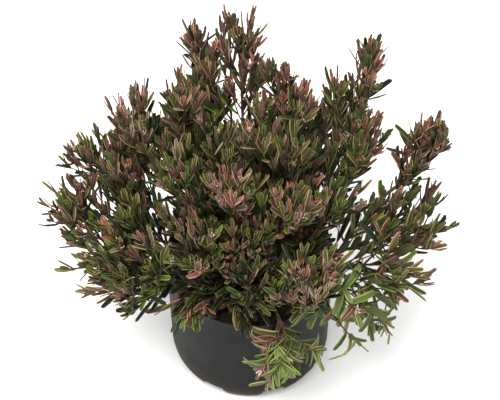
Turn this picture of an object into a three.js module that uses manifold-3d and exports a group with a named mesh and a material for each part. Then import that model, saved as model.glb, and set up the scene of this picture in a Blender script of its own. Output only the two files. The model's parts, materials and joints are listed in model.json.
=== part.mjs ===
// Bog rosemary in a nursery pot: a low evergreen shrub whose many thin boughs and shoots rise
// from one short main stem, with narrow leaves on every twig. Units are millimetres and +Z is
// up. The origin is the middle of the pot's flat underside; -Y is the front of the plant.

import * as THREE from "three";
import { mergeVertices } from "three/addons/utils/BufferGeometryUtils.js";
import Module from "manifold-3d";

const wasm = await Module();
wasm.setup();
const { Manifold } = wasm;

// Driving dimensions

const GAP = 0.3; // left between pieces that touch
const MERGE = 1e-4; // corners closer than this are one
const UP = new THREE.Vector3(0, 0, 1);
const NEARLY_UPRIGHT = 0.9; // least z of a direction that is measured from +X and not from +Z

const POT = {
  rimRadius: 85,
  height: 140,
  footRadius: 77.5,
  chamferHeight: 11,
  shoulderRadius: 82,
  bandRadius: 84, // outside, just under the lip
  lipHeight: 5,
  lipSlope: 0.6, // height of the sloping underside of the lip
  wall: 1.5,
  floor: 3,
  sides: 36,
};

// Eight drain slots cut the corner between the wall and the floor, the first one `first` degrees
// to the right of the front.
const SLOT = { count: 8, height: 14, topWidth: 22, footWidth: 30, depth: 8, first: 17 };

// The soil's foot slopes in behind the slots, from `shoulderHeight` down to `footRadius`.
const SOIL = { level: 121, heapHeight: 3, heapRadius: 40, footRadius: 66, shoulderHeight: 16 };
const soilTop = SOIL.level + SOIL.heapHeight;

// The short main stem, cut flat at the soil: its flared root, its neck and its top.
const MAIN = {
  flareRadius: 30,
  neckRadius: 24,
  topRadius: 8,
  height: 20,
  neckAt: 0.45, // share of the height
  shoulderAt: 0.85,
  sides: 16,
};

const BOUGH = { footRadius: 2.7, tipRadius: 1.7, sides: 5, steps: 3 };
const TWIG = { tipRadius: 0.9, sides: 3 };
const LEAF = {
  length: 46,
  width: 16,
  tipWidth: 7,
  thickness: 1.3,
  widestAt: 0.45, // shares of the length
  ridgeAt: 0.54,
  droop: 0.05,
  varies: 0.12,
  shorterUpwards: 0.18,
};

// The bends of the stems, in shares of a stem's reach (out) and of its height over the rim (up).
// An outer stem's elbow starts `rise` over the rim. A stem steeper than `steepest` leaves the
// main stem at its steep root, a level one at its flat root, and others in between.
const INNER_BOW = { out: 0.5, up: 0.62 };
const OUTER_ELBOW = { out: 0.76, rise: 26, up: 0.19 };
// Three stems turn up further out and lower than the others, so that their shoots stand upright.
const LATE_ELBOWS = {
  far_right: { out: 1.03, over: 46 },
  right_side: { out: 0.88, over: 16 },
  front_right_low: { out: 0.99, over: 2 },
};
const ROOTS = {
  steepest: 1.6,
  flat: { radius: 0.95 * MAIN.neckRadius, height: 0.25 * MAIN.height },
  steep: { radius: 0.55 * MAIN.neckRadius, height: 0.65 * MAIN.height },
  inner: { radius: 0.5 * MAIN.neckRadius, height: 0.8 * MAIN.height },
};

// How a shoot is made up: side twigs spiral round its stem, and leaves spiral round both. An
// outer shoot grows on from a bough; an inner one leaves the main stem and stays slender. Shares
// are of the shoot's own length, and leans are degrees from the twig's direction.
const GOLDEN_ANGLE = THREE.MathUtils.degToRad(137.5);
const HABITS = {
  outer: { sideTwigs: 4, firstSide: 0.08, lastSide: 0.72, sideLength: 78, lowLean: 74 },
  inner: { sideTwigs: 2, firstSide: 0.5, lastSide: 0.72, sideLength: 46, lowLean: 56 },
};
const STEM_TWIGS = {
  outer: { radius: 1.6, steps: 3, bare: 0.12, leaves: 7 },
  inner: { radius: 1.6, steps: 4, bare: 0.34, leaves: 8 },
};
const SIDE_TWIG = {
  radius: 1.15,
  steps: 2,
  bare: 0.3,
  leaves: 4,
  lean: 58,
  kneeAt: 0.45,
  varies: 0.15,
  shorterUpwards: 0.45,
};
// How strongly side twigs turn up towards the light, at their start and then past the knee, and
// how far leaves rise. Shoots whose tips stand `full` or more over the rim do so fully, lower ones
// by a share down to `least`, and hanging ones by the share `hanging`, with drooping leaves.
const LIGHTWARD = {
  first: 0.6,
  then: 1.3,
  leaf: 0.45,
  full: 80,
  none: -10,
  least: 0.2,
  hanging: 0.15,
  hangingLeaf: -0.3,
};
const HANGING = ["front_skirt", "right_skirt_low"];
// Shoots that stay slimmer than the others: the share of the usual length that their twigs have
const SLENDER = {
  back_spire: 0.46,
  back_crest: 0.95,
  right_spire: 0.6,
  upper_back_left: 0.8,
  far_right: 0.62,
  front_skirt: 0.8,
};
const TIP_LEAN = 30;
const LEAN_BEND = 1.4; // power by which the leaves' lean falls off towards the tip
const LAST_ROOT = 0.97; // share of a twig at which its last leaf is rooted
const LAST_LEAF_ROOM = 0.72; // leaf lengths that the stem stops short of the shoot's tip

// What is tried in turn for a side twig or a leaf before it is left out for want of space.
const TWIG_TRIES = [
  { shorter: 1, aside: 0 },
  { shorter: 1, aside: 0.7 },
  { shorter: 0.78, aside: -0.5 },
  { shorter: 0.6, aside: 0 },
  { shorter: 0.6, aside: 1.6 },
];
const LEAF_TRIES = [
  { steeper: 1, shorter: 1, aside: 0 },
  { steeper: 0.72, shorter: 0.9, aside: 0.5 },
  { steeper: 1, shorter: 0.75, aside: -0.6 },
  { steeper: 0.55, shorter: 0.75, aside: 0.9 },
  { steeper: 0.8, shorter: 0.75, aside: 2.2 },
];

// Clear distances that keep a shoot in its own space, and how far it may pass its own tip.
const CLEAR = { betweenShoots: 3.7, toLimb: 1.4, aboveRim: 3.5, besidePot: 2, aboveGround: 12 };
const REACH = { pastTip: 10, belowTip: 55, uprightHeight: 190 };
const SHARED_FOOT = 0.15; // share of each stem that stands among the others and owns no space

// Each stem with its shoot: the compass direction of its tip (0 is +X, 90 the back), how far the
// tip stands from the pot's axis, its height over the rim, and the share of it that is a bare
// bough. A share of 0 is a leafy shoot that leaves the main stem itself.
const STEMS = [
  { name: "back_spire", azimuth: 110, reach: 170, height: 186, bare: 0.42 },
  { name: "back_crest", azimuth: 94, reach: 151, height: 199, bare: 0.42 },
  { name: "upper_back_right", azimuth: 62, reach: 92, height: 190, bare: 0.3 },
  { name: "right_spire", azimuth: 49, reach: 207, height: 162, bare: 0.42 },
  { name: "right_shoulder", azimuth: 32, reach: 158, height: 112, bare: 0.34 },
  { name: "far_right", azimuth: 16, reach: 191, height: 150, bare: 0.56 },
  { name: "right_side", azimuth: 2, reach: 199, height: 64, bare: 0.36 },
  { name: "right_skirt", azimuth: 346, reach: 185, height: 42, bare: 0.34 },
  { name: "right_skirt_low", azimuth: 329, reach: 164, height: 32, bare: 0.4 },
  { name: "upper_back_left", azimuth: 132, reach: 116, height: 172, bare: 0.3 },
  { name: "left_shoulder", azimuth: 148, reach: 158, height: 146, bare: 0.34 },
  { name: "left_crest", azimuth: 160, reach: 188, height: 106, bare: 0.36 },
  { name: "far_left", azimuth: 176, reach: 212, height: 78, bare: 0.3 },
  { name: "left_side", azimuth: 191, reach: 191, height: 42, bare: 0.28 },
  { name: "left_skirt", azimuth: 206, reach: 172, height: 48, bare: 0.3 },
  { name: "front_skirt", azimuth: 290, reach: 134, height: -22, bare: 0.46 },
  { name: "front_right_low", azimuth: 301, reach: 120, height: 102, bare: 0.42 },
  { name: "back_low_right", azimuth: 64, reach: 172, height: 62, bare: 0.38 },
  { name: "back_skirt", azimuth: 92, reach: 160, height: 26, bare: 0.4 },
  { name: "back_low_left", azimuth: 124, reach: 172, height: 60, bare: 0.38 },
  { name: "summit", azimuth: 40, reach: 20, height: 208, bare: 0 },
  { name: "inner_right", azimuth: 20, reach: 62, height: 164, bare: 0 },
  { name: "inner_back_left", azimuth: 138, reach: 50, height: 160, bare: 0 },
  { name: "left_middle", azimuth: 184, reach: 98, height: 142, bare: 0 },
  { name: "left_heart", azimuth: 200, reach: 96, height: 100, bare: 0 },
  { name: "front_left", azimuth: 233, reach: 118, height: 96, bare: 0 },
  { name: "front_crest", azimuth: 252, reach: 66, height: 184, bare: 0 },
  { name: "front_heart", azimuth: 262, reach: 80, height: 100, bare: 0 },
  { name: "front_middle", azimuth: 274, reach: 116, height: 62, bare: 0 },
  { name: "front_right", azimuth: 306, reach: 92, height: 168, bare: 0 },
  { name: "right_heart", azimuth: 326, reach: 100, height: 60, bare: 0 },
  { name: "right_middle", azimuth: 348, reach: 120, height: 122, bare: 0 },
  { name: "back_heart_right", azimuth: 44, reach: 104, height: 92, bare: 0 },
  { name: "back_heart", azimuth: 78, reach: 98, height: 98, bare: 0 },
  { name: "back_heart_left", azimuth: 118, reach: 104, height: 86, bare: 0 },
  { name: "front_left_low", azimuth: 218, reach: 116, height: 14, bare: 0 },
  { name: "front_low", azimuth: 252, reach: 100, height: 12, bare: 0 },
];

// Repeatable chance: the same seed gives the same plant.
class Dice {
  constructor(seed) {
    this.state = seed * 7919 + 12345;
    this.roll();
  }
  roll() {
    this.state = (this.state * 48271) % 2147483647;
    return this.state / 2147483647;
  }
  around(middle, share) {
    return middle * (1 + share * (2 * this.roll() - 1));
  }
}

// Solids and geometry

function solidOf(geometry) {
  const bare = geometry.clone();
  bare.deleteAttribute("normal");
  bare.deleteAttribute("uv");
  const merged = mergeVertices(bare, MERGE);
  const mesh = new wasm.Mesh({
    numProp: 3,
    vertProperties: new Float32Array(merged.attributes.position.array),
    triVerts: new Uint32Array(merged.index.array),
  });
  return new Manifold(mesh);
}

function geometryOf(solid) {
  const { vertProperties, triVerts } = solid.getMesh();
  const geometry = new THREE.BufferGeometry();
  geometry.setAttribute("position", new THREE.BufferAttribute(vertProperties, 3));
  geometry.setIndex(new THREE.BufferAttribute(triVerts, 1));
  geometry.computeVertexNormals();
  return geometry;
}

function latheUp(profile, sides) {
  const points = profile.map(([radius, height]) => new THREE.Vector2(radius, height));
  return new THREE.LatheGeometry(points, sides).rotateX(Math.PI / 2);
}

// A unit vector square to the given direction, used to count turns round a twig from.
function sideOf(direction) {
  const upright = Math.abs(direction.z) > NEARLY_UPRIGHT;
  const helper = upright ? new THREE.Vector3(1, 0, 0) : UP;
  return new THREE.Vector3().crossVectors(direction, helper).normalize();
}

// A tapering limb: a cylinder bent along part of a curve, from share `from` to share `to`.
function limbGeometry(curve, from, to, footRadius, tipRadius, sides, steps) {
  const limb = new THREE.CylinderGeometry(tipRadius, footRadius, 1, sides, steps);
  const position = limb.attributes.position;
  const across = sideOf(curve.getTangentAt((from + to) / 2));
  for (let i = 0; i < position.count; i++) {
    const share = from + (to - from) * (position.getY(i) + 0.5);
    const along = curve.getTangentAt(share);
    const right = across.clone().addScaledVector(along, -across.dot(along)).normalize();
    const ahead = new THREE.Vector3().crossVectors(right, along);
    const point = curve
      .getPointAt(share)
      .addScaledVector(right, position.getX(i))
      .addScaledVector(ahead, position.getZ(i));
    position.setXYZ(i, point.x, point.y, point.z);
  }
  return limb;
}

// Pot, soil and main stem

function potOuterRadius(height) {
  const { footRadius, shoulderRadius, chamferHeight, bandRadius, height: top } = POT;
  if (height < chamferHeight) {
    return THREE.MathUtils.mapLinear(height, 0, chamferHeight, footRadius, shoulderRadius);
  }
  return THREE.MathUtils.mapLinear(height, chamferHeight, top, shoulderRadius, bandRadius);
}

function slotGeometry(turn) {
  const { height, topWidth, footWidth, depth } = SLOT;
  const outline = new THREE.Shape([
    new THREE.Vector2(-footWidth / 2, -1),
    new THREE.Vector2(footWidth / 2, -1),
    new THREE.Vector2(topWidth / 2, height),
    new THREE.Vector2(-topWidth / 2, height),
  ]);
  const cutter = new THREE.ExtrudeGeometry(outline, { depth: depth * 2, bevelEnabled: false });
  // Stand the outline up, facing outwards, and push it out to the pot's corner.
  cutter.rotateX(Math.PI / 2);
  cutter.translate(0, -(POT.footRadius - depth), 0);
  return cutter.rotateZ(turn);
}

function potSolid() {
  const { rimRadius, height, lipHeight, lipSlope, wall, floor, chamferHeight, sides } = POT;
  const lipFoot = height - lipHeight;
  const profile = [
    [0, 0],
    [POT.footRadius, 0],
    [POT.shoulderRadius, chamferHeight],
    [potOuterRadius(lipFoot), lipFoot],
    [rimRadius, lipFoot + lipSlope],
    [rimRadius, height],
    [potOuterRadius(height) - wall, height],
    [POT.shoulderRadius - wall, chamferHeight],
    [potOuterRadius(floor) - wall, floor],
    [0, floor],
  ];
  const slots = Array.from({ length: SLOT.count }, (_, i) => {
    const turn = THREE.MathUtils.degToRad(SLOT.first + (i * 360) / SLOT.count);
    return solidOf(slotGeometry(turn));
  });
  return solidOf(latheUp(profile, sides)).subtract(Manifold.union(slots));
}

function soilGeometry() {
  const { wall, floor, sides } = POT;
  const inset = wall + GAP;
  const { level, heapRadius, footRadius, shoulderHeight } = SOIL;
  const profile = [
    [0, floor + GAP],
    [footRadius, floor + GAP],
    [potOuterRadius(shoulderHeight) - inset, shoulderHeight],
    [potOuterRadius(level) - inset, level],
    [heapRadius, soilTop],
    [0, soilTop],
  ];
  return latheUp(profile, sides);
}

// The main stem, or with `grow` the same shape that much larger on every side.
function mainStemGeometry(grow) {
  const base = soilTop + GAP;
  const { flareRadius, neckRadius, topRadius, height, neckAt, shoulderAt, sides } = MAIN;
  const profile = [
    [0, base - grow],
    [flareRadius + grow, base - grow],
    [neckRadius + grow, base + height * neckAt],
    [(neckRadius + topRadius) / 2 + grow, base + height * shoulderAt],
    [topRadius + grow, base + height + grow],
    [0, base + height + grow],
  ];
  return latheUp(profile, sides);
}

const mainStemCutter = solidOf(mainStemGeometry(GAP));

// Stems

// An outer stem runs outwards and then turns up towards its tip; an inner one rises over the
// boughs with a slight bow.
function stemCurve({ name, azimuth, reach, height, bare }) {
  const turn = THREE.MathUtils.degToRad(azimuth);
  const place = (distance, z) =>
    new THREE.Vector3(distance * Math.cos(turn), distance * Math.sin(turn), z);
  const tip = place(reach, POT.height + height);
  if (bare === 0) {
    const start = place(Math.min(ROOTS.inner.radius, reach / 2), soilTop + ROOTS.inner.height);
    const bow = place(reach * INNER_BOW.out, POT.height + height * INNER_BOW.up);
    return new THREE.QuadraticBezierCurve3(start, bow, tip);
  }
  const { flat, steep, steepest } = ROOTS;
  const { clamp, lerp } = THREE.MathUtils;
  const steepness = clamp(height / reach / steepest, 0, 1);
  const startRadius = lerp(flat.radius, steep.radius, steepness);
  const start = place(startRadius, soilTop + lerp(flat.height, steep.height, steepness));
  const usual = { out: OUTER_ELBOW.out, over: OUTER_ELBOW.rise + OUTER_ELBOW.up * height };
  const { out, over } = LATE_ELBOWS[name] ?? usual;
  const elbow = place(reach * out, POT.height + over);
  return new THREE.QuadraticBezierCurve3(start, elbow, tip);
}

function pathAlong(curve, from, to, count) {
  const share = (i) => from + ((to - from) * i) / (count - 1);
  return Array.from({ length: count }, (_, i) => curve.getPointAt(share(i)));
}

// The bough runs along the bare share of the curve, and the shoot's own stem along the rest up
// to where its last leaves go on. The limb and axis paths say whose space is whose.
const stems = STEMS.map((stem, index) => {
  const curve = stemCurve(stem);
  const length = curve.getLength();
  const kind = stem.bare === 0 ? "inner" : "outer";
  const shootStart = stem.bare === 0 ? 0 : stem.bare + GAP / length;
  const shootEnd = 1 - (LAST_LEAF_ROOM * LEAF.length) / length;
  const limb = pathAlong(curve, 0, Math.max(stem.bare, SHARED_FOOT), 13);
  const axis = pathAlong(curve, Math.max(shootStart, SHARED_FOOT), 1, 9);
  const hangs = HANGING.includes(stem.name);
  const { none, full, least, hanging } = LIGHTWARD;
  const lit = THREE.MathUtils.clamp((stem.height - none) / (full - none), least, 1);
  const light = hangs ? hanging : lit;
  return { ...stem, index, curve, kind, hangs, light, shootStart, shootEnd, limb, axis };
});

function boughSolid(stem) {
  const { footRadius, tipRadius, sides, steps } = BOUGH;
  const limb = limbGeometry(stem.curve, 0, stem.bare, footRadius, tipRadius, sides, steps);
  return solidOf(limb).subtract(mainStemCutter);
}

// Space tests

const closest = new THREE.Vector3();
const piece = new THREE.Line3();

function distanceToPath(point, path) {
  let least = Infinity;
  for (let i = 1; i < path.length; i++) {
    piece.set(path[i - 1], path[i]).closestPointToPoint(point, true, closest);
    least = Math.min(least, closest.distanceTo(point));
  }
  return least;
}

function clearOfPot(point, thickness) {
  const fromAxis = Math.hypot(point.x, point.y);
  const beside = fromAxis > POT.rimRadius + CLEAR.besidePot + thickness;
  const lowest = beside ? CLEAR.aboveGround : POT.height + CLEAR.aboveRim;
  return point.z > lowest + thickness;
}

// The crown's outline: nothing of a shoot goes further out than its tip or hangs far below it,
// and the lower the shoot, the more it may arch over its tip.
function insideCrown(point, { reach, height }) {
  const overTip = point.z - (POT.height + height);
  const inward = reach - Math.hypot(point.x, point.y);
  const arch = THREE.MathUtils.clamp(1 - height / REACH.uprightHeight, 0, 1) * inward;
  const { pastTip, belowTip } = REACH;
  return inward > -pastTip && overTip < pastTip + arch && overTip > -belowTip - inward;
}

// True where a point lies nearer to its own shoot's axis than to any other, and touches no limb.
function inOwnSpace(point, own, thickness) {
  if (!clearOfPot(point, thickness) || !insideCrown(point, own)) {
    return false;
  }
  const limbRoom = BOUGH.footRadius + CLEAR.toLimb + thickness;
  const room = distanceToPath(point, own.axis) + CLEAR.betweenShoots + thickness;
  return stems.every((other) => {
    if (other === own) {
      return own.kind === "inner" || distanceToPath(point, own.limb) > limbRoom;
    }
    return distanceToPath(point, other.limb) > limbRoom && distanceToPath(point, other.axis) > room;
  });
}

// Twigs and leaves

// The direction that leans away from `along` by `lean`, turned round it by `turn`.
function leaning(along, lean, turn) {
  const right = sideOf(along);
  const ahead = new THREE.Vector3().crossVectors(along, right);
  return along
    .clone()
    .multiplyScalar(Math.cos(lean))
    .addScaledVector(right, Math.sin(lean) * Math.cos(turn))
    .addScaledVector(ahead, Math.sin(lean) * Math.sin(turn));
}

// A leaf is a blunt blade with a flat underside and a ridge above: 6 corners and 8 faces. Its
// root is on the middle line of the twig.
function leafCorners(root, along, upper, length) {
  const across = new THREE.Vector3().crossVectors(along, upper).normalize();
  const corner = (distance, side, rise) =>
    root
      .clone()
      .addScaledVector(along, distance)
      .addScaledVector(across, side)
      .addScaledVector(upper, rise);
  const halfWidth = (LEAF.width / 2) * (length / LEAF.length);
  const halfTip = (LEAF.tipWidth / 2) * (length / LEAF.length);
  const widest = length * LEAF.widestAt;
  const sag = -LEAF.droop * length;
  return {
    root,
    ridge: corner(length * LEAF.ridgeAt, 0, LEAF.thickness),
    left: corner(widest, -halfWidth, 0),
    right: corner(widest, halfWidth, 0),
    tipLeft: corner(length, -halfTip, sag),
    tipRight: corner(length, halfTip, sag),
  };
}

function leafSolid({ root, ridge, left, right, tipLeft, tipRight }) {
  const corners = [root, ridge, left, right, tipLeft, tipRight];
  const faces = [
    [0, 1, 2],
    [0, 3, 1],
    [2, 1, 4],
    [3, 5, 1],
    [4, 1, 5],
    [0, 2, 3],
    [2, 4, 3],
    [4, 5, 3],
  ];
  const mesh = new wasm.Mesh({
    numProp: 3,
    vertProperties: new Float32Array(corners.flatMap((corner) => corner.toArray())),
    triVerts: new Uint32Array(faces.flat()),
  });
  return new Manifold(mesh);
}

// Tests the leaf's corners, points along its edges and points along its middle.
function leafStays({ root, left, right, tipLeft, tipRight }, own) {
  const between = (a, b, share) => a.clone().lerp(b, share);
  const tip = between(tipLeft, tipRight, 0.5);
  const edges = [
    between(root, left, 0.6),
    between(root, right, 0.6),
    between(left, tipLeft, 0.5),
    between(right, tipRight, 0.5),
  ];
  const middle = [0.35, 0.55, 0.75].map((share) => between(root, tip, share));
  const points = [left, right, tipLeft, tipRight, ...edges, ...middle];
  return points.every((point) => inOwnSpace(point, own, 0));
}

// The middle line of a limb of straight steps, at the given share of its length.
function pointOnLimb({ curve, from, to, steps }, share) {
  const step = Math.min(Math.floor(share * steps), steps - 1);
  const end = (i) => curve.getPointAt(from + ((to - from) * i) / steps);
  return end(step).lerp(end(step + 1), share * steps - step);
}

// Leaves round the outer part of a twig, steep at its tip and spreading further down. One that
// would leave its space or cross a leaf or twig is tried otherwise, then left out.
function leavesOn(twig, own, dice, placed) {
  const { curve, from, to, bare, leaves: count } = twig;
  const made = [];
  const turnStart = dice.roll() * 2 * Math.PI;
  for (let i = 0; i < count; i++) {
    const share = bare + (1 - bare) * ((i + 1) / count);
    const rootShare = Math.min(share, LAST_ROOT);
    const root = pointOnLimb(twig, rootShare);
    const along = curve.getTangentAt(from + (to - from) * rootShare);
    const lean = THREE.MathUtils.lerp(HABITS[own.kind].lowLean, TIP_LEAN, share ** LEAN_BEND);
    const turn = turnStart + i * GOLDEN_ANGLE;
    const fullLength = dice.around(LEAF.length * (1 - LEAF.shorterUpwards * share), LEAF.varies);
    for (const { steeper, shorter, aside } of LEAF_TRIES) {
      const outwards = leaning(along, THREE.MathUtils.degToRad(lean * steeper), turn + aside)
        .addScaledVector(UP, own.hangs ? LIGHTWARD.hangingLeaf : LIGHTWARD.leaf * own.light)
        .normalize();
      const upper = along.clone().addScaledVector(outwards, -along.dot(outwards)).normalize();
      const corners = leafCorners(root, outwards, upper, fullLength * shorter);
      const leaf = leafSolid(corners);
      const crosses = () => [...placed, ...made].some((other) => !leaf.intersect(other).isEmpty());
      if (leafStays(corners, own) && !crosses()) {
        made.push(leaf);
        break;
      }
    }
  }
  return made;
}

// A side twig leans out of the stem and turns towards the stem's direction and the light.
function sideTwigCurve(stem, share, turn, length) {
  const at = stem.shootStart + (stem.shootEnd - stem.shootStart) * share;
  const root = stem.curve.getPointAt(at);
  const along = stem.curve.getTangentAt(at);
  const first = leaning(along, THREE.MathUtils.degToRad(SIDE_TWIG.lean), turn)
    .addScaledVector(UP, LIGHTWARD.first * stem.light)
    .normalize();
  const second = first.clone().add(along).addScaledVector(UP, LIGHTWARD.then * stem.light).normalize();
  const knee = root.clone().addScaledVector(first, length * SIDE_TWIG.kneeAt);
  const tip = knee.clone().addScaledVector(second, length * (1 - SIDE_TWIG.kneeAt));
  return new THREE.QuadraticBezierCurve3(root, knee, tip);
}

function twigStays(curve, own) {
  const shares = [0.25, 0.4, 0.55, 0.7, 0.85, 1];
  return shares.every((share) => inOwnSpace(curve.getPointAt(share), own, SIDE_TWIG.radius));
}

// The stem of a shoot and its side twigs.
function twigsOf(stem) {
  const dice = new Dice(stem.index + 1);
  const { sideTwigs, firstSide, lastSide, sideLength } = HABITS[stem.kind];
  const { curve: main, shootStart, shootEnd } = stem;
  const twigs = [{ curve: main, from: shootStart, to: shootEnd, ...STEM_TWIGS[stem.kind] }];
  const turnStart = dice.roll() * 2 * Math.PI;
  for (let i = 0; i < sideTwigs; i++) {
    const share = THREE.MathUtils.mapLinear(i, 0, sideTwigs - 1, firstSide, lastSide);
    const turn = turnStart + i * GOLDEN_ANGLE;
    const upShare = (1 - SIDE_TWIG.shorterUpwards * share) * (SLENDER[stem.name] ?? 1);
    const length = dice.around(sideLength * upShare, SIDE_TWIG.varies);
    const curve = TWIG_TRIES.map(({ shorter, aside }) =>
      sideTwigCurve(stem, share, turn + aside, length * shorter),
    ).find((choice) => twigStays(choice, stem));
    if (curve) {
      twigs.push({ curve, from: 0, to: 1, ...SIDE_TWIG });
    }
  }
  return twigs;
}

function twigSolid({ curve, from, to, radius, steps }) {
  return solidOf(limbGeometry(curve, from, to, radius, TWIG.tipRadius, TWIG.sides, steps));
}

function shootSolid(stem) {
  const dice = new Dice(stem.index + 101);
  const twigs = twigsOf(stem);
  const wood = twigs.map(twigSolid);
  const leaves = [];
  twigs.forEach((twig, i) => {
    const otherWood = wood.filter((_, j) => j !== i);
    leaves.push(...leavesOn(twig, stem, dice, [...otherWood, ...leaves]));
  });
  return Manifold.union([...wood, ...leaves]).subtract(mainStemCutter);
}

// Materials

const material = (color, roughness) =>
  new THREE.MeshStandardMaterial({ color, roughness, metalness: 0 });

const potPlastic = material("#333435", 0.5);
const peat = material("#2b221b", 0.95);
const bark = material("#4a3228", 0.85);

// The higher a shoot's tip, the redder its leaves: least height over the rim, and tint.
const LEAF_TINTS = [
  [150, material("#6e4a3d", 0.5)],
  [90, material("#5b4638", 0.5)],
  [45, material("#49512c", 0.5)],
  [-Infinity, material("#56702f", 0.5)],
];
const leafTint = (height) => LEAF_TINTS.find(([least]) => height >= least)[1];

// Assembly

const plant = new THREE.Group();
plant.name = "potted_bog_rosemary";

function addPiece(name, geometry, look) {
  const mesh = new THREE.Mesh(geometry, look);
  mesh.name = name;
  plant.add(mesh);
}

addPiece("pot", geometryOf(potSolid()), potPlastic);
addPiece("potting_soil", soilGeometry(), peat);
addPiece("main_stem", mainStemGeometry(0), bark);

for (const stem of stems) {
  if (stem.kind === "outer") {
    addPiece(`bough_${stem.name}`, geometryOf(boughSolid(stem)), bark);
  }
  addPiece(`foliage_${stem.name}`, geometryOf(shootSolid(stem)), leafTint(stem.height));
}

export default plant;
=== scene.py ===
# A bog rosemary in a nursery pot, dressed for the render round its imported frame.
#
# Its stems follow the rule of the solids and are carried on to finer twigs and life-size leaves.
# Everything rides on the one body, "root". Sizes are in millimetres where nothing else is said.

import json
import math

import bpy
import numpy as np
from mathutils import Matrix, Vector

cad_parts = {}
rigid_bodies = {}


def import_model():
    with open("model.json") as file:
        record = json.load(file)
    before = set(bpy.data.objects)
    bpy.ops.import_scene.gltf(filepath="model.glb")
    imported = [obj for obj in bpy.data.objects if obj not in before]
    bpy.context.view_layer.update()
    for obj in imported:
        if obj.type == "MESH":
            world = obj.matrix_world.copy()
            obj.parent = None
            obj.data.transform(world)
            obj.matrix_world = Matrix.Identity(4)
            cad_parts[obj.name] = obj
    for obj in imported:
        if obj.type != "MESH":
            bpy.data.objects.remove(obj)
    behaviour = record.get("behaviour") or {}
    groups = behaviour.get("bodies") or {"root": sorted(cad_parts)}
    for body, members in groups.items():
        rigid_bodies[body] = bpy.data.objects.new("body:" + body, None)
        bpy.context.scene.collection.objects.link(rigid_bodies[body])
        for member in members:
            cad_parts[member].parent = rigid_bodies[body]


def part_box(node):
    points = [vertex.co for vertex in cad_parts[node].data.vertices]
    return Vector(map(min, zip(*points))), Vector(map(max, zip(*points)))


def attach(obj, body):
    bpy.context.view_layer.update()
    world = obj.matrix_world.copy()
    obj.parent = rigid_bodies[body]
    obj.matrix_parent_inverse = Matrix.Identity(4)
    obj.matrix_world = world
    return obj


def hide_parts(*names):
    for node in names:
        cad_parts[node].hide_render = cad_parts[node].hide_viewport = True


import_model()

MM = 0.001
GOLDEN_ANGLE = math.radians(137.5)
UP = np.array([0.0, 0.0, 1.0])

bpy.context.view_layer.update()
RIM_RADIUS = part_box("pot")[1][0] / MM
RIM_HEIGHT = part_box("pot")[1][2] / MM
SOIL_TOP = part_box("potting_soil")[1][2] / MM
MAIN_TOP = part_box("main_stem")[1][2] / MM

# Camera: it stands in front of the pot and looks down on its rim

CAMERA_DISTANCE = 1.8  # metres from the middle of the rim
CAMERA_ELEVATION = math.radians(53.5)
AIM_ABOVE = math.radians(1.78)  # how far over the middle of the rim it aims
FOCAL_LENGTH = 129.1  # millimetres, on the sensor's width

# Growth rule of the solids

NECK_RADIUS = 24
MAIN_HEIGHT = 20
GAP = 0.3
INNER_BOW = {"out": 0.5, "up": 0.62}
OUTER_ELBOW = {"out": 0.76, "rise": 26, "up": 0.19}
# Boughs that bend up late: the share of their reach and the height over the rim at which they do
LATE_ELBOWS = {
    "far_right": {"out": 1.03, "over": 46},
    "right_side": {"out": 0.88, "over": 16},
    "front_right_low": {"out": 0.99, "over": 2},
}
STEEPEST = 1.6  # rise over reach from which a bough leaves the main stem at its steepest
FLAT_ROOT = {"radius": 0.95 * NECK_RADIUS, "height": 0.25 * MAIN_HEIGHT}
STEEP_ROOT = {"radius": 0.55 * NECK_RADIUS, "height": 0.65 * MAIN_HEIGHT}
INNER_ROOT = {"radius": 0.5 * NECK_RADIUS, "height": 0.8 * MAIN_HEIGHT}
HABITS = {
    "outer": {"side_twigs": 4, "first_side": 0.08, "last_side": 0.72, "side_length": 78},
    "inner": {"side_twigs": 2, "first_side": 0.5, "last_side": 0.72, "side_length": 46},
}
SIDE_TWIG = {"lean": 58, "knee_at": 0.45, "varies": 0.15, "shorter_upwards": 0.45}
# How strongly growth turns up to the light, and between which heights over the rim it gets it
LIGHTWARD = {
    "first": 0.6,
    "then": 1.3,
    "leaf": 0.45,
    "full": 80,
    "none": -10,
    "least": 0.2,
    "hanging": 0.15,
    "hanging_leaf": -0.3,
}
HANGING = ("front_skirt", "right_skirt_low")
# Shoots with shorter twigs: the share of the usual length that those have
SLENDER = {
    "back_spire": 0.46,
    "back_crest": 0.95,
    "right_spire": 0.6,
    "upper_back_left": 0.8,
    "far_right": 0.62,
    "front_skirt": 0.8,
}
SOLID_LEAF_LENGTH = 46
LAST_LEAF_ROOM = 0.72  # share of a solid's leaf that reaches past the end of its shoot
# The share of its length and the turn aside, in radians, with which a twig is tried
TWIG_TRIES = ((1, 0), (1, 0.7), (0.78, -0.5), (0.6, 0), (0.6, 1.6))
TWIG_SPOTS = (0.4, 0.7, 1)  # the shares of its length at which its room is tested
CLEAR = {"to_limb": 1.4, "above_rim": 3.5, "beside_pot": 2, "above_ground": 12}
REACH = {"past_tip": 5, "below_tip": 55, "upright_height": 190}
HELD_BACK = {"far_left": 6}  # how far its leaves stay inside the solid's reach
SHARED_FOOT = 0.15  # share of a stem, from its root, that never counts as its shoot
BOUGH_RADII = (2.7, 1.7, 0.8)  # at the foot, where leaves begin, and at the tip

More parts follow.
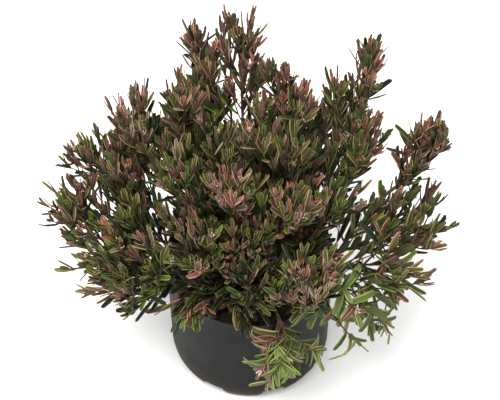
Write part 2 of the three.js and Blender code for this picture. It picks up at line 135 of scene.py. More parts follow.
# Each stem: the direction of its tip in degrees from +X, how far that stands from the pot's
# axis, its height over the rim, and the share of the stem that is a bare bough
STEMS = (
    ("back_spire", 110, 170, 186, 0.42),
    ("back_crest", 94, 151, 199, 0.42),
    ("upper_back_right", 62, 92, 190, 0.3),
    ("right_spire", 49, 207, 162, 0.42),
    ("right_shoulder", 32, 158, 112, 0.34),
    ("far_right", 16, 191, 150, 0.56),
    ("right_side", 2, 199, 64, 0.36),
    ("right_skirt", 346, 185, 42, 0.34),
    ("right_skirt_low", 329, 164, 32, 0.4),
    ("upper_back_left", 132, 116, 172, 0.3),
    ("left_shoulder", 148, 158, 146, 0.34),
    ("left_crest", 160, 188, 106, 0.36),
    ("far_left", 176, 212, 78, 0.3),
    ("left_side", 191, 191, 42, 0.28),
    ("left_skirt", 206, 172, 48, 0.3),
    ("front_skirt", 290, 134, -22, 0.46),
    ("front_right_low", 301, 120, 102, 0.42),
    ("back_low_right", 64, 172, 62, 0.38),
    ("back_skirt", 92, 160, 26, 0.4),
    ("back_low_left", 124, 172, 60, 0.38),
    ("summit", 40, 20, 208, 0),
    ("inner_right", 20, 62, 164, 0),
    ("inner_back_left", 138, 50, 160, 0),
    ("left_middle", 184, 98, 142, 0),
    ("left_heart", 200, 96, 100, 0),
    ("front_left", 233, 118, 96, 0),
    ("front_crest", 252, 66, 184, 0),
    ("front_heart", 262, 80, 100, 0),
    ("front_middle", 274, 116, 62, 0),
    ("front_right", 306, 92, 168, 0),
    ("right_heart", 326, 100, 60, 0),
    ("right_middle", 348, 120, 122, 0),
    ("back_heart_right", 44, 104, 92, 0),
    ("back_heart", 78, 98, 98, 0),
    ("back_heart_left", 118, 104, 86, 0),
    ("front_left_low", 218, 116, 14, 0),
    ("front_low", 252, 100, 12, 0),
)

# Finer growth than the solids have

SEEDS = {"sides": 1, "leaves": 101, "sprigs": 201}  # added to a stem's number for its dice
SPRIGS = {
    "stem": {"count": 17, "first": 0.06, "last": 0.92, "length": 68},
    "side": {"count": 6, "first": 0.2, "last": 0.9, "length": 46},
}
SPRIG_LEAN = 47
MINGLE = 21  # how far twigs of neighbouring shoots may grow past the line between them
TWIG_RADII = {"side": (1.15, 0.6), "sprig": (0.8, 0.5)}
LEAF = {
    "fewest": 3,
    "length": 34,
    "width": 5.2,
    "slimming": 0.6,  # power by which shorter leaves are narrower too
    "spacing": 7.4,
    "low_lean": 46,
    "tip_lean": 25,
    "lean_bend": 1.2,
    "last": 0.98,  # share of its twig at which the last one is rooted
    "tip_length": 0.58,  # share of the usual length that those at the tip have
    "low_breadth": 1.1,
    "tip_breadth": 0.9,
    "upward_turn": 0.25,  # how far the upper side turns from the twig to the sky
}
LEAF_VARIES = {"turn": 0.12, "lean": 0.2, "length": 0.16, "breadth": 0.14}
# Shoots lower than this over the rim have longer and broader leaves
SHADE = {"below": 60, "longer": 0.22, "broader": 0.3}
ROSETTE = {"leaves": 4, "depth": 9, "first": 20, "last": 13, "breadth": 0.95}
ROSETTE_VARIES = {"turn": 0.1, "lean": 0.5, "length": 0.14}
BARE = {"stem": 0.1, "inner_stem": 0.26, "side": 0.2, "sprig": 0.2}
# The share of its lean and of its length, and the turn aside, with which a leaf is tried
LEAF_TRIES = ((1, 1, 0), (0.75, 0.9, 0.6), (0.6, 0.8, -0.7))
# Hanging shoots have fewer and broader leaves, which stand out further from their twigs
HANGING_HABIT = {"sprigs": 0.38, "spacing": 3.4, "breadth": 1.42, "low_lean": 70, "tip_lean": 42}
HANGING_LENGTHS = {"front_skirt": 0.84, "right_skirt_low": 0.98}
# Shoots that the photograph shows open: the share of the usual sprigs and leaves that they have
AIRY = {"back_crest": 0.86, "right_side": 0.62, "right_skirt": 0.62, "far_right": 0.85}
# How much larger the leaves of the open shoots on the right are than the others
LARGER = {"right_side": 1.15, "right_skirt": 1.15, "far_right": 1.06}
LEAF_SPOTS = (0.5, 1)  # the shares of its length at which a leaf's room is tested
UPRIGHT_SHAPES = (0, 1, 2)  # the bends of leaves, by their place in BENDS
HANGING_SHAPES = (3, 4, 5)

# Small tools

LINE_POINTS = 121  # points at which the length of a line is measured
LIMB_POINTS = 13  # points that stand for a limb where room is measured
AXIS_POINTS = 9  # and for the middle of a shoot
NEARLY_UPRIGHT = 0.9


class Dice:
    """Repeatable chance, with the same rolls as the rule of the solids has."""

    SPREAD = 7919
    SHIFT = 12345
    FACTOR = 48271
    MODULUS = 2147483647

    def __init__(self, seed):
        self.state = seed * self.SPREAD + self.SHIFT
        self.roll()

    def roll(self):
        self.state = self.state * self.FACTOR % self.MODULUS
        return self.state / self.MODULUS

    def around(self, middle, share):
        return middle * (1 + share * (2 * self.roll() - 1))

    def pick(self, weights):
        """One key of a dictionary of weights."""
        left = self.roll() * sum(weights.values())
        for name, weight in weights.items():
            left -= weight
            if left <= 0:
                return name
        return name


def clamp(value, low=0.0, high=1.0):
    return max(low, min(high, value))


def lerp(a, b, share):
    return a + (b - a) * share


def unit(vector):
    return vector / np.linalg.norm(vector)


class Line:
    """A bent line from root past elbow to tip, read by the share of its length."""

    STEPS = np.linspace(0, 1, LINE_POINTS)

    def __init__(self, root, elbow, tip):
        self.root, self.elbow, self.tip = root, elbow, tip
        points = self.point(self.STEPS[:, None])
        pieces = np.linalg.norm(np.diff(points, axis=0), axis=1)
        self.run = np.concatenate([[0], np.cumsum(pieces)])
        self.length = self.run[-1]

    def point(self, t):
        return (1 - t) ** 2 * self.root + 2 * t * (1 - t) * self.elbow + t**2 * self.tip

    def step(self, share):
        """The curve's own measure at a share of its length."""
        return np.interp(share * self.length, self.run, self.STEPS)

    def at(self, share):
        return self.point(self.step(share))

    def along(self, share):
        t = self.step(share)
        return unit((1 - t) * (self.elbow - self.root) + t * (self.tip - self.elbow))


def leaning(along, lean, turn):
    """The direction that leans away from `along` by `lean` degrees, turned round it."""
    helper = np.array([1.0, 0.0, 0.0]) if abs(along[2]) > NEARLY_UPRIGHT else UP
    right = unit(np.cross(along, helper))
    ahead = np.cross(along, right)
    aside = math.cos(turn) * right + math.sin(turn) * ahead
    lean = math.radians(lean)
    return math.cos(lean) * along + math.sin(lean) * aside


# Stems, by the rule of the solids


class Stem:
    """A stem from the main stem to its tip: a bare limb first, and then a leafy shoot."""

    def __init__(self, index, name, azimuth, reach, height, bare):
        self.index, self.name, self.reach, self.height, self.bare = index, name, reach, height, bare
        self.kind = "inner" if bare == 0 else "outer"
        self.hangs = name in HANGING
        lit = (height - LIGHTWARD["none"]) / (LIGHTWARD["full"] - LIGHTWARD["none"])
        self.light = LIGHTWARD["hanging"] if self.hangs else clamp(lit, LIGHTWARD["least"])
        turn = math.radians(azimuth)
        self.outwards = np.array([math.cos(turn), math.sin(turn), 0.0])
        self.line = self.run_line()
        length = self.line.length
        self.shoot_start = 0 if bare == 0 else bare + GAP / length
        self.shoot_end = 1 - LAST_LEAF_ROOM * SOLID_LEAF_LENGTH / length
        limb_end = max(bare, SHARED_FOOT)
        self.limb = [self.line.at(share) for share in np.linspace(0, limb_end, LIMB_POINTS)]
        axis_start = max(self.shoot_start, SHARED_FOOT)
        self.axis = [self.line.at(share) for share in np.linspace(axis_start, 1, AXIS_POINTS)]

    def place(self, distance, z):
        """A point of the upright plane in which the stem grows."""
        return self.outwards * distance + UP * z

    def run_line(self):
        reach, height = self.reach, self.height
        tip = self.place(reach, RIM_HEIGHT + height)
        if self.kind == "inner":
            start_radius = min(INNER_ROOT["radius"], reach / 2)
            start = self.place(start_radius, SOIL_TOP + INNER_ROOT["height"])
            bow = self.place(reach * INNER_BOW["out"], RIM_HEIGHT + height * INNER_BOW["up"])
            return Line(start, bow, tip)
        steepness = clamp(height / reach / STEEPEST)
        start_radius = lerp(FLAT_ROOT["radius"], STEEP_ROOT["radius"], steepness)
        start_height = lerp(FLAT_ROOT["height"], STEEP_ROOT["height"], steepness)
        usual_height = OUTER_ELBOW["rise"] + OUTER_ELBOW["up"] * height
        usual = {"out": OUTER_ELBOW["out"], "over": usual_height}
        bend = LATE_ELBOWS.get(self.name, usual)
        elbow = self.place(reach * bend["out"], RIM_HEIGHT + bend["over"])
        return Line(self.place(start_radius, SOIL_TOP + start_height), elbow, tip)


stems = [Stem(index, *row) for index, row in enumerate(STEMS)]


class Paths:
    """Straight pieces of all stems, to measure how far a point lies from each stem."""

    def __init__(self, paths):
        self.start = np.array([a for path in paths for a in path[:-1]])
        self.run = np.array([b for path in paths for b in path[1:]]) - self.start
        self.square = (self.run**2).sum(1)
        self.first = np.cumsum([0] + [len(path) - 1 for path in paths[:-1]])

    def distances(self, point):
        share = ((point - self.start) * self.run).sum(1) / self.square
        nearest = self.start + np.clip(share, 0, 1)[:, None] * self.run
        apart = np.linalg.norm(point - nearest, axis=1)
        return np.minimum.reduceat(apart, self.first)


limbs = Paths([stem.limb for stem in stems])
axes = Paths([stem.axis for stem in stems])


def clear_of_pot(point):
    """Over the rim, or past it and clear of the ground."""
    beside = math.hypot(point[0], point[1]) > RIM_RADIUS + CLEAR["beside_pot"]
    lowest = CLEAR["above_ground"] if beside else RIM_HEIGHT + CLEAR["above_rim"]
    return point[2] > lowest


def inside_crown(point, stem):
    """No further out, up or down than this stem's part of the crown reaches."""
    over_tip = point[2] - (RIM_HEIGHT + stem.height)
    inward = stem.reach - HELD_BACK.get(stem.name, 0) - math.hypot(point[0], point[1])
    arch = clamp(1 - stem.height / REACH["upright_height"]) * inward
    past, below = REACH["past_tip"], REACH["below_tip"]
    return inward > -past and over_tip < past + arch and over_tip > -below - inward


def in_own_space(point, own):
    """Nearer to its own shoot than to the others, nearly, and clear of every limb."""
    if not clear_of_pot(point) or not inside_crown(point, own):
        return False
    apart = axes.distances(point)
    nearest_other = np.delete(apart, own.index).min()
    to_limbs = limbs.distances(point)
    if own.kind == "inner":
        to_limbs[own.index] = np.inf
    limb_room = BOUGH_RADII[0] + CLEAR["to_limb"]
    return apart[own.index] < nearest_other + MINGLE and to_limbs.min() > limb_room


# Twigs


class Twig:
    """The leafy stretch of a line, read by the share of that stretch."""

    def __init__(self, line, start, end, kind, stem, radii):
        self.line, self.start, self.end, self.kind, self.stem = line, start, end, kind, stem
        self.radii = radii
        self.length = line.length * (end - start)

    def at(self, share):
        return self.line.at(lerp(self.start, self.end, share))

    def along(self, share):
        return self.line.along(lerp(self.start, self.end, share))


def branch_line(root, along, lean, turn, length, stem):
    """A twig leans out of its parent and turns towards the parent's direction and the light."""
    first = unit(leaning(along, lean, turn) + UP * LIGHTWARD["first"] * stem.light)
    second = unit(first + along + UP * LIGHTWARD["then"] * stem.light)
    knee = root + first * length * SIDE_TWIG["knee_at"]
    return Line(root, knee, knee + second * length * (1 - SIDE_TWIG["knee_at"]))


def branch(parent, share, lean, turn, length):
    """The first of the tries that stays in the shoot's own space, or None."""
    root, along = parent.at(share), parent.along(share)
    for shorter, aside in TWIG_TRIES:
        line = branch_line(root, along, lean, turn + aside, length * shorter, parent.stem)
        if all(in_own_space(line.at(spot), parent.stem) for spot in TWIG_SPOTS):
            return line
    return None


def branches(parent, dice, kind, count, first, last, lean, full_length):
    """Twigs in a spiral round their parent, those that find room."""
    made = []
    turn_start = dice.roll() * 2 * math.pi
    for i in range(count):
        share = lerp(first, last, i / max(count - 1, 1))
        shorter = (1 - SIDE_TWIG["shorter_upwards"] * share) * SLENDER.get(parent.stem.name, 1)
        length = dice.around(full_length * shorter, SIDE_TWIG["varies"])
        line = branch(parent, share, lean, turn_start + i * GOLDEN_ANGLE, length)
        if line:
            made.append(Twig(line, 0, 1, kind, parent.stem, TWIG_RADII[kind]))
    return made


def twigs_of(stem):
    """A shoot: its own axis, the side twigs that the solids have, and finer sprigs."""
    habit = HABITS[stem.kind]
    main = Twig(stem.line, stem.shoot_start, stem.shoot_end, "stem", stem, BOUGH_RADII[1:])
    sides = branches(
        main,
        Dice(stem.index + SEEDS["sides"]),
        "side",
        habit["side_twigs"],
        habit["first_side"],
        habit["last_side"],
        SIDE_TWIG["lean"],
        habit["side_length"],
    )
    dice = Dice(stem.index + SEEDS["sprigs"])
    sprigs = []
    for parent in (main, *sides):
        rule = SPRIGS[parent.kind]
        share = HANGING_HABIT["sprigs"] if stem.hangs else AIRY.get(stem.name, 1)
        count = round(rule["count"] * share)
        first = BARE["inner_stem"] if parent is main and stem.kind == "inner" else rule["first"]
        sprigs += branches(
            parent, dice, "sprig", count, first, rule["last"], SPRIG_LEAN, rule["length"]
        )
    return [main, *sides, *sprigs]


# Leaves: where each is rooted, how it lies and which tint its spray has

CROWN_MIDDLE = np.array([0.0, 15.0, RIM_HEIGHT])
CROWN_RADII = np.array([205.0, 172.0, 212.0])
RED_FROM = {"out": 0.5, "high": 10}  # how far out and over the rim leaves start to redden
RED_OVER = {"out": 0.4, "high": 140}  # and over what span they do
LOW_RED = 0.3


def outness(point):
    """0 in the middle of the crown and about 1 at its outside."""
    return np.linalg.norm((point - CROWN_MIDDLE) / CROWN_RADII)


def redness(point):
    """How far sun and cold have turned the leaves there: 0 is green, 1 is red."""
    out = clamp((outness(point) - RED_FROM["out"]) / RED_OVER["out"])
    high = clamp((point[2] - RIM_HEIGHT - RED_FROM["high"]) / RED_OVER["high"])
    return out * lerp(LOW_RED, 1, high)


def tip_tints(red):
    """How often a sunlit tip has each tint."""
    green = 1 - red
    return {
        "dusty_red": 0.25 * red,
        "rust": 0.16 * red,
        "mauve": 0.15 * red + 0.03,
        "bronze": 0.16 * red + 0.12,
        "olive": 0.34 + 0.1 * green,
        "dark_green": 0.12 * green,
        "mid_green": 0.30 * green,
        "fresh_green": 0.24 * green,
    }


def low_tints_with_painted_shade(red):
    """How often the older leaves under a tip have each tint: mostly dark green, partly because
    older leaves are darker and partly as painted shade under the tip.
    """
    green = 1 - red
    return {
        "bronze": 0.2 * red,
        "olive": 0.14,
        "dark_green": 0.7,
        "mid_green": 0.08 + 0.16 * green,
        "fresh_green": 0.08 * green,
    }


# Inside the heart of the crown the leaves, those of the tips too, get mostly dark tints: painted
# shade, for the shade that the crown casts on itself
HEART_PAINTED_SHADE_TINTS = {"dark_green": 0.86, "mid_green": 0.08, "olive": 0.06}
HEART_TIP_PAINTED_SHADE_TINTS = {
    "dark_green": 0.4,
    "mid_green": 0.14,
    "olive": 0.14,
    "bronze": 0.16,
    "dusty_red": 0.16,
}
HANGING_TINTS = {"fresh_green": 0.44, "mid_green": 0.28, "olive": 0.24, "bronze": 0.04}
RED_TINTS = ("dusty_red", "rust", "mauve", "bronze")
GREEN_TINTS = ("olive", "dark_green", "mid_green", "fresh_green")
HEART_LINE = 0.63  # how far out the heart of the crown ends, inside which darker tints are painted shade
LOW_SPOT = 0.4  # share of its twig where the place of the lower leaves is taken
TIP_ZONE = 0.5  # share of its twig from which a leaf counts as one of the tip's
TIP_ZONE_VARIES = 0.25
BUDDING = 0.3  # share of the outer tips that have buds
BUD_LINE = 0.7  # how far out a tip can have buds
OWN_TINT = 0.75  # share of a spray's leaves that have its own tint; the others vary


def zone_tints(stem, point, share):
    """The weights of the tints for the lower or the upper leaves of a spray."""
    if stem.hangs:
        return HANGING_TINTS
    # Inside the heart, darker tints: painted shade
    if outness(point) < HEART_LINE:
        return HEART_TIP_PAINTED_SHADE_TINTS if share > TIP_ZONE else HEART_PAINTED_SHADE_TINTS
    tints = tip_tints if share > TIP_ZONE else low_tints_with_painted_shade
    return tints(redness(point))


class Leaves:
    """The leaves of one tint: root, turn, size and shape of each, and the shoots they are on."""

    def __init__(self):
        self.roots, self.turns, self.sizes, self.shapes, self.masses = [], [], [], [], set()

    def add(self, root, outwards, upper, size, shape, stem):
        across = np.cross(upper, outwards)
        matrix = Matrix((outwards, across, upper)).transposed()
        self.roots.append(root * MM)
        self.turns.append(tuple(matrix.to_quaternion()))
        self.sizes.append(size)
        self.shapes.append(shape)
        self.masses.add(f"foliage_{stem.name}")


leaves = {tint: Leaves() for tint in (*RED_TINTS, *GREEN_TINTS)}
buds = Leaves()


def lift(stem, outwards):
    """Leaves rise towards the light, apart from those of the hanging shoots."""
    rise = LIGHTWARD["hanging_leaf"] if stem.hangs else LIGHTWARD["leaf"] * stem.light
    return unit(outwards + UP * rise)


def leaf_stays(root, outwards, length, stem):
    """Whether a leaf keeps clear of the pot and inside the crown."""
    spots = [root + outwards * length * share for share in LEAF_SPOTS]
    return all(clear_of_pot(spot) and inside_crown(spot, stem) for spot in spots)


def put_leaf(twig, dice, share, turn, lean, length, tint, breadth):
    """Roots a leaf on a twig, if one of its tries has room, and says whether it did."""
    root, along = twig.at(share), twig.along(share)
    skywards = along + UP * LEAF["upward_turn"]
    for steeper, shorter, aside in LEAF_TRIES:
        outwards = lift(twig.stem, leaning(along, lean * steeper, turn + aside))
        if leaf_stays(root, outwards, length * shorter, twig.stem):
            upper = unit(skywards - outwards * np.dot(skywards, outwards))
            scale = length * shorter / LEAF["length"]
            broad = scale ** LEAF["slimming"] * dice.around(1, LEAF_VARIES["breadth"]) * breadth
            broad *= HANGING_HABIT["breadth"] if twig.stem.hangs else 1
            shapes = HANGING_SHAPES if twig.stem.hangs else UPRIGHT_SHAPES
            shape = shapes[int(dice.roll() * len(shapes))]
            leaves[tint].add(root, outwards, upper, (scale, broad, broad), shape, twig.stem)
            return True
    return False


def spray_tint(dice, own, others):
    """The spray's own tint for most of its leaves, and one of the others for the rest."""
    return own if dice.roll() < OWN_TINT else dice.pick(others)


def dress(twig, dice):
    """Leaves in a spiral up a twig, a rosette of small ones at its tip, and perhaps buds."""
    stem = twig.stem
    kind = "inner_stem" if twig.kind == "stem" and stem.kind == "inner" else twig.kind
    bare = BARE[kind]
    spacing = LEAF["spacing"] * (HANGING_HABIT["spacing"] if stem.hangs else 1)
    spacing /= AIRY.get(stem.name, 1)
    count = max(LEAF["fewest"], round(twig.length * (1 - bare) / spacing))
    turn = dice.roll() * 2 * math.pi
    low_others = zone_tints(stem, twig.at(LOW_SPOT), 0)
    tip_others = zone_tints(stem, twig.at(1), 1)
    low_tint, tip_tint = dice.pick(low_others), dice.pick(tip_others)
    shaded = clamp((SHADE["below"] - stem.height) / SHADE["below"])
    habit = HANGING_HABIT if stem.hangs else LEAF
    larger = LARGER.get(stem.name, 1)
    full_length = LEAF["length"] * HANGING_LENGTHS.get(stem.name, 1) * larger
    for i in range(count):
        share = bare + (LEAF["last"] - bare) * (i + 0.5) / count
        turn += dice.around(GOLDEN_ANGLE, LEAF_VARIES["turn"])
        lean = lerp(habit["low_lean"], habit["tip_lean"], share ** LEAF["lean_bend"])
        usual = full_length * lerp(1, LEAF["tip_length"], share) * (1 + SHADE["longer"] * shaded)
        length = dice.around(usual, LEAF_VARIES["length"])
        at_tip = share > TIP_ZONE + TIP_ZONE_VARIES * (dice.roll() - 0.5)
        tint = spray_tint(dice, *((tip_tint, tip_others) if at_tip else (low_tint, low_others)))
        breadth = lerp(LEAF["low_breadth"], LEAF["tip_breadth"], share)
        breadth *= (1 + SHADE["broader"] * shaded) * larger
        lean = dice.around(lean, LEAF_VARIES["lean"])
        put_leaf(twig, dice, share, turn, lean, length, tint, breadth)
    placed = 0
    for i in range(ROSETTE["leaves"]):
        turn += dice.around(GOLDEN_ANGLE, ROSETTE_VARIES["turn"])
        rise = i / ROSETTE["leaves"]
        share = 1 - ROSETTE["depth"] / twig.length * (1 - rise)
        usual = lerp(ROSETTE["first"], ROSETTE["last"], rise)
        length = dice.around(usual, ROSETTE_VARIES["length"])
        tint = spray_tint(dice, tip_tint, tip_others)
        lean = dice.around(habit["tip_lean"], ROSETTE_VARIES["lean"])
        placed += put_leaf(twig, dice, share, turn, lean, length, tint, ROSETTE["breadth"])
    budding = dice.roll() < BUDDING and placed == ROSETTE["leaves"]
    if budding and outness(twig.at(1)) > BUD_LINE:
        tip, along = twig.at(1), twig.along(1)
        side = leaning(along, 90, dice.roll() * 2 * math.pi)
        buds.add(tip, along, side, (1, 1, 1), 0, stem)


twigs = []
for stem in stems:
    dice = Dice(stem.index + SEEDS["leaves"])
    shoot = twigs_of(stem)
    for twig in shoot:
        dress(twig, dice)
    twigs += shoot

# Colours and nodes


def linear(hex_colour):
    """A colour for a shader socket from its sRGB hex value."""
    channels = [int(hex_colour[i : i + 2], 16) / 255 for i in (1, 3, 5)]
    straight = [c / 12.92 if c <= 0.04045 else ((c + 0.055) / 1.055) ** 2.4 for c in channels]
    return (*straight, 1.0)


def add_node(tree, kind, inputs=None, **settings):
    """Adds a node. Settings are its own properties, and inputs are values or sockets to link."""
    node = tree.nodes.new(kind)
    for name, value in settings.items():
        setattr(node, name, value)
    for name, value in (inputs or {}).items():
        if isinstance(value, bpy.types.NodeSocket):
            tree.links.new(value, node.inputs[name])
        else:
            node.inputs[name].default_value = value
    return node


def new_material(name, **shader_inputs):
    """A material with one Principled shader; returns it, its tree and its shader."""
    material = bpy.data.materials.new(name)
    material.use_nodes = True
    tree = material.node_tree
    shader = tree.nodes["Principled BSDF"]
    for socket, value in shader_inputs.items():
        shader.inputs[socket.replace("_", " ")].default_value = value
    return material, tree, shader


def patches(place, size_mm, detail):
    """What gives a noise uneven patches of about this many millimetres."""
    return {"Vector": place, "Scale": 1 / (size_mm * MM), "Detail": detail}


def leaf_skin(name, colour, roughness, sheen=0.0):
    """Leathery evergreen leaf, grown with a waxed skin: satin, and slightly dimpled over its net of
    veins, which is drawn twice as coarse as it is so that it shows. Young leaves are felted, which
    gives them a dusty sheen."""
    material, tree, shader = new_material(
        name,
        Base_Color=linear(colour),
        Roughness=roughness,
        Sheen_Weight=sheen,
        Sheen_Roughness=0.4,
        Specular_IOR_Level=0.35,
    )
    place = add_node(tree, "ShaderNodeTexCoord").outputs["Object"]
    veins = add_node(tree, "ShaderNodeTexNoise", patches(place, size_mm=1.4, detail=2.0))
    dimples = {"Height": veins.outputs["Fac"], "Strength": 0.5, "Distance": 0.25 * MM}
    bump = add_node(tree, "ShaderNodeBump", dimples)
    tree.links.new(bump.outputs["Normal"], shader.inputs["Normal"])
    return material


# Of each tint: the blade's colour, the paler one of its margins, and how felted the skin is. The
# margins are paler partly for their felt and partly as a painted highlight along the rolled edge
LEAF_COLOURS = {
    "dusty_red": ("#7f4a3a", "#ab8069", 0.15),
    "rust": ("#783d28", "#9c674b", 0.1),
    "mauve": ("#645038", "#a08a6c", 0.15),
    "bronze": ("#482e1c", "#785841", 0.1),
    "olive": ("#4b461e", "#857e4c", 0.0),
    "dark_green": ("#17180c", "#30331c", 0.0),
    "mid_green": ("#2b3610", "#566329", 0.0),
    "fresh_green": ("#4a5a1c", "#74823c", 0.0),
}
BLADE_ROUGHNESS = 0.52
MARGIN_ROUGHNESS = 0.55
UNDERSIDE_ROUGHNESS = 0.75
blade_skins, margin_felt_and_highlight_skins = {}, {}
for tint, (blade, margin, felt) in LEAF_COLOURS.items():
    blade_skins[tint] = leaf_skin(f"waxy_leaf_{tint}", blade, BLADE_ROUGHNESS, felt)
    margin_felt_and_highlight_skins[tint] = leaf_skin(f"rolled_margin_{tint}", margin, MARGIN_ROUGHNESS, felt)
# The undersides have a chalky bloom, which makes them dull
UNDERSIDE_COLOURS = {"green": "#414624", "pink": "#5a4136"}
underside_skins = {
    hue: leaf_skin(f"chalky_leaf_underside_{hue}", look, UNDERSIDE_ROUGHNESS)
    for hue, look in UNDERSIDE_COLOURS.items()
}
# A closed bud has a waxed skin too, pale pink; a twig of this year is smooth and reddish brown
bud_skin = leaf_skin("waxy_flower_bud", "#b8938a", 0.5)
twig_skin = leaf_skin("young_twig_skin", "#4e2c1f", 0.5)


def mottled(name, roughness, size_mm, detail, dark, light, strength, depth_mm):
    """A dull material with patches that run from a dark to a light colour, the light ones raised.
    Each colour comes with its place on the ramp."""
    material, tree, shader = new_material(name, Roughness=roughness)
    place = add_node(tree, "ShaderNodeTexCoord").outputs["Object"]
    noise = add_node(tree, "ShaderNodeTexNoise", patches(place, size_mm, detail))
    ramp = add_node(tree, "ShaderNodeValToRGB", {"Fac": noise.outputs["Fac"]})
    for element, (spot, colour) in zip(ramp.color_ramp.elements, (dark, light)):
        element.position, element.color = spot, linear(colour)
    tree.links.new(ramp.outputs["Color"], shader.inputs["Base Color"])
    relief = {"Height": noise.outputs["Fac"], "Strength": strength, "Distance": depth_mm * MM}
    bump = add_node(tree, "ShaderNodeBump", relief)
    tree.links.new(bump.outputs["Normal"], shader.inputs["Normal"])
    return material


# Thin bark of old stems, in flakes about 2 mm wide: dark brown, greyer on the flakes, and dull
bark = mottled(
    "flaking_heather_bark",
    roughness=0.85,
    size_mm=2.2,
    detail=4.0,
    dark=(0.35, "#2c1e18"),
    light=(0.7, "#6f5242"),
    strength=0.8,
    depth_mm=0.6,
)
# Milled peat, moist, in clods of about 5 mm: nearly black, with lighter fibres on top
peat = mottled(
    "moist_milled_peat",
    roughness=0.95,
    size_mm=5,
    detail=6.0,
    dark=(0.4, "#15100c"),
    light=(0.72, "#4a3626"),
    strength=1.0,
    depth_mm=2.0,
)

POT_COLOURS = {"dark": "#060606", "light": "#100f0e", "dirt": "#6b563c"}
DIRT_HEIGHT = 30  # millimetres over the foot where the dried dirt ends
DIRT_AT_FOOT = 0.4
POT_ROUGHNESS = (0.38, 0.62)  # satin: where the film is thinnest and where it is thickest


def moulded_polypropylene():
    """Recycled polypropylene, injection moulded: charcoal and satin, with a film of dried dirt
    that thickens towards the foot. The mould's grain is drawn coarser than it is, so that it
    shows."""
    material, tree, shader = new_material("moulded_recycled_polypropylene", Specular_IOR_Level=0.1)
    place = add_node(tree, "ShaderNodeTexCoord").outputs["Object"]
    noise = add_node(tree, "ShaderNodeTexNoise", patches(place, size_mm=28, detail=5.0))
    film = noise.outputs["Fac"]
    shades = {"Factor": film, "A": linear(POT_COLOURS["dark"]), "B": linear(POT_COLOURS["light"])}
    charcoal = add_node(tree, "ShaderNodeMix", shades, data_type="RGBA").outputs["Result"]
    height = add_node(tree, "ShaderNodeSeparateXYZ", {"Vector": place}).outputs["Z"]
    span = {"From Min": 0.0, "From Max": DIRT_HEIGHT * MM, "To Min": DIRT_AT_FOOT, "To Max": 0.0}
    low = add_node(tree, "ShaderNodeMapRange", {"Value": height, **span}).outputs["Result"]
    specks = add_node(tree, "ShaderNodeTexNoise", patches(place, size_mm=2.5, detail=4.0))
    product = {"operation": "MULTIPLY", "use_clamp": True}
    amounts = {0: specks.outputs["Fac"], 1: low}
    dirt = add_node(tree, "ShaderNodeMath", amounts, **product).outputs["Value"]
    coats = {"Factor": dirt, "A": charcoal, "B": linear(POT_COLOURS["dirt"])}
    dirty = add_node(tree, "ShaderNodeMix", coats, data_type="RGBA")
    tree.links.new(dirty.outputs["Result"], shader.inputs["Base Color"])
    satin = {"Value": film, "To Min": POT_ROUGHNESS[0], "To Max": POT_ROUGHNESS[1]}
    gloss = add_node(tree, "ShaderNodeMapRange", satin)
    tree.links.new(gloss.outputs["Result"], shader.inputs["Roughness"])
    grain = add_node(tree, "ShaderNodeTexNoise", patches(place, size_mm=0.9, detail=2.0))
    relief = {"Height": grain.outputs["Fac"], "Strength": 0.12, "Distance": 0.2 * MM}
    bump = add_node(tree, "ShaderNodeBump", relief)
    tree.links.new(bump.outputs["Normal"], shader.inputs["Normal"])
    return material


pot_plastic = moulded_polypropylene()

# Meshes


def new_object(name, data):
    """An object of a mesh, lamp or camera, in the scene."""
    made = bpy.data.objects.new(name, data)
    bpy.context.scene.collection.objects.link(made)
    return made


def mesh_of(name, points, faces=(), edges=()):
    mesh = bpy.data.meshes.new(name)
    mesh.from_pydata([tuple(map(float, point)) for point in points], edges, faces)
    mesh.validate()
    return mesh


def smooth(mesh, sharp_from=None):
    mesh.polygons.foreach_set("use_smooth", [True] * len(mesh.polygons))
    if sharp_from is not None:
        mesh.set_sharp_from_angle(angle=math.radians(sharp_from))


def finish(piece, replaced):
    """What every finished piece needs: the body it rides on and what it stands for."""
    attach(piece, "root")
    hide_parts(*replaced)


def new_tree(name, sockets):
    """A Geometry Nodes tree with a geometry input and output, and more named inputs."""
    tree = bpy.data.node_groups.new(name, "GeometryNodeTree")
    tree.interface.new_socket("Geometry", in_out="INPUT", socket_type="NodeSocketGeometry")
    for label, kind in sockets.items():
        tree.interface.new_socket(label, in_out="INPUT", socket_type=kind)
    tree.interface.new_socket("Geometry", in_out="OUTPUT", socket_type="NodeSocketGeometry")
    return tree


def end_tree(tree, geometry, skin):
    """Ends a tree with plain meshes of one material."""
    real = add_node(tree, "GeometryNodeRealizeInstances", {"Geometry": geometry})
    inputs = {"Geometry": real.outputs[0], "Material": skin}
    painted = add_node(tree, "GeometryNodeSetMaterial", inputs)
    add_node(tree, "NodeGroupOutput", {"Geometry": painted.outputs[0]})


def set_shapes(tree, given, points, places):
    """Sets a shape of the given collection on every point, and ends the tree."""
    inputs = {"Collection": given["Shapes"], "Separate Children": True}
    shapes = add_node(tree, "GeometryNodeCollectionInfo", inputs).outputs[0]
    inputs = {"Points": points, "Instance": shapes, "Pick Instance": True, **places}
    spread = add_node(tree, "GeometryNodeInstanceOnPoints", inputs)
    end_tree(tree, spread.outputs[0], given["Finish"])


def plain_mesh(source):
    """The mesh that an object's modifiers make of it. The object itself goes."""
    graph = bpy.context.evaluated_depsgraph_get()
    mesh = bpy.data.meshes.new_from_object(source.evaluated_get(graph), depsgraph=graph)
    bpy.data.objects.remove(source)
    return mesh


def grown(name, source, tree, values):
    """Runs a tree on an object and returns the plain mesh that comes out, as a new object."""
    modifier = source.modifiers.new(tree.name, "NODES")
    modifier.node_group = tree
    for item in tree.interface.items_tree:
        if item.in_out == "INPUT" and item.name in values:
            modifier[item.identifier] = values[item.name]
    mesh = plain_mesh(source)
    mesh.name = name
    return new_object(name, mesh)


# A leaf is a narrow blunt strap with a sunken middle, its margins rolled under. It is made along
# +X with its upper side to +Z, as a blade, two margins and an underside that share their edges.

